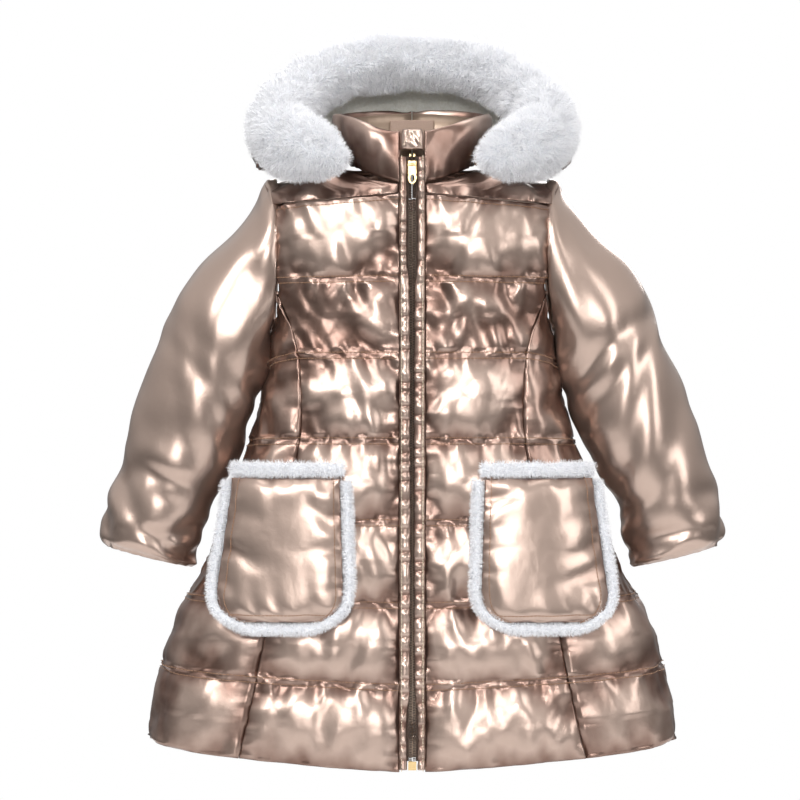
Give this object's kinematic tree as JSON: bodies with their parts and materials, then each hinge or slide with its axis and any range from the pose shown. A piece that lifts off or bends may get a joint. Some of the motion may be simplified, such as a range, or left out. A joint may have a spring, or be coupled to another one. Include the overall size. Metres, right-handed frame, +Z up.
{
  "type": "quilted_coat",
  "caption": "Child's quilted winter coat in metallic coated fabric with a fur-trimmed hood, stand collar, front zip and fur-edged patch pockets",
  "frame": {"origin": "Middle of the hanger loop at the back neck, where the peg bears on it, with the coat upright", "axes": "+Z up, the front of the coat faces -Y, the wearer's left is +X"},
  "size_m": [0.6146, 0.2401, 0.7338],
  "materials": {
    "coated_fabric": "satin",
    "lining_fabric": "matte",
    "faux_fur": "matte",
    "fleece": "matte",
    "zip_tape": "matte",
    "zip_coil": "satin",
    "pale_gold": "polished",
    "aged_brass": "satin",
    "label_fabric": "matte"
  },
  "bodies": {
    "coat_body": {"left_front_panel": "coated_fabric", "left_front_side_panel": "coated_fabric", "left_back_side_panel": "coated_fabric", "left_front_yoke": "coated_fabric", "left_back_yoke": "coated_fabric", "left_placket": "coated_fabric", "left_collar": "coated_fabric", "left_collar_lining": "coated_fabric", "left_pocket": "coated_fabric", "left_front_lining": "lining_fabric", "left_zip_tape": "zip_tape", "left_zip_teeth": "zip_coil", "left_zip_top_stop": "pale_gold", "left_pocket_fur_edge": "faux_fur", "left_pocket_fur_top": "faux_fur", "right_front_panel": "coated_fabric", "right_front_side_panel": "coated_fabric", "right_back_side_panel": "coated_fabric", "right_front_yoke": "coated_fabric", "right_back_yoke": "coated_fabric", "right_placket": "coated_fabric", "right_collar": "coated_fabric", "right_collar_lining": "coated_fabric", "right_pocket": "coated_fabric", "right_front_lining": "lining_fabric", "right_zip_tape": "zip_tape", "right_zip_teeth": "zip_coil", "right_zip_top_stop": "pale_gold", "right_pocket_fur_edge": "faux_fur", "right_pocket_fur_top": "faux_fur", "back_panel": "coated_fabric", "back_lining": "lining_fabric", "hem_facing": "coated_fabric", "zip_bottom_box": "pale_gold", "zip_garage": "coated_fabric", "collar_hood_tape": "zip_tape", "hood_zip_slider": "aged_brass", "hood_zip_end_tab": "coated_fabric", "hanger_loop": "lining_fabric", "neck_label": "label_fabric"},
    "left_sleeve": {"left_sleeve": "coated_fabric", "left_sleeve_lining": "lining_fabric", "left_cuff_facing": "coated_fabric"},
    "right_sleeve": {"right_sleeve": "coated_fabric", "right_sleeve_lining": "lining_fabric", "right_cuff_facing": "coated_fabric"},
    "hood": {"left_hood_side": "coated_fabric", "left_hood_side_fleece": "fleece", "right_hood_side": "coated_fabric", "right_hood_side_fleece": "fleece", "hood_centre": "coated_fabric", "hood_centre_fleece": "fleece", "hood_fur_trim": "faux_fur", "hood_tape": "zip_tape"},
    "zip_slider": {"zip_slider": "pale_gold"},
    "zip_pull": {"zip_pull": "pale_gold"},
    "hood_zip_pull": {"hood_zip_pull": "aged_brass"}
  },
  "joints": [
    {"name": "left_shoulder", "type": "hinge", "parent": "coat_body", "child": "left_sleeve", "pos_m": [0.15, -0.02585, -0.035], "axis": [0, -1, 0], "range_deg": [0, 70]},
    {"name": "right_shoulder", "type": "hinge", "parent": "coat_body", "child": "right_sleeve", "pos_m": [-0.15, -0.02585, -0.035], "axis": [0, 1, 0], "range_deg": [0, 70]},
    {"name": "hood_lift", "type": "hinge", "parent": "coat_body", "child": "hood", "pos_m": [0, -0.08585, -0.014], "axis": [1, 0, 0], "range_deg": [0, 40]},
    {"name": "zip_slide", "type": "slide", "parent": "coat_body", "child": "zip_slider", "axis": [0, -0.037, -0.9993], "range_m": [0, 0.572]},
    {"name": "zip_pull_hinge", "type": "hinge", "parent": "zip_slider", "child": "zip_pull", "pos_m": [0, -0.09231, -0.02432], "axis": [-1, 0, 0], "range_deg": [0, 150]},
    {"name": "hood_zip_pull_hinge", "type": "hinge", "parent": "coat_body", "child": "hood_zip_pull", "pos_m": [0.06347, -0.06369, -0.01442], "axis": [-1, 0, 0], "range_deg": [0, 120]}
  ]
}
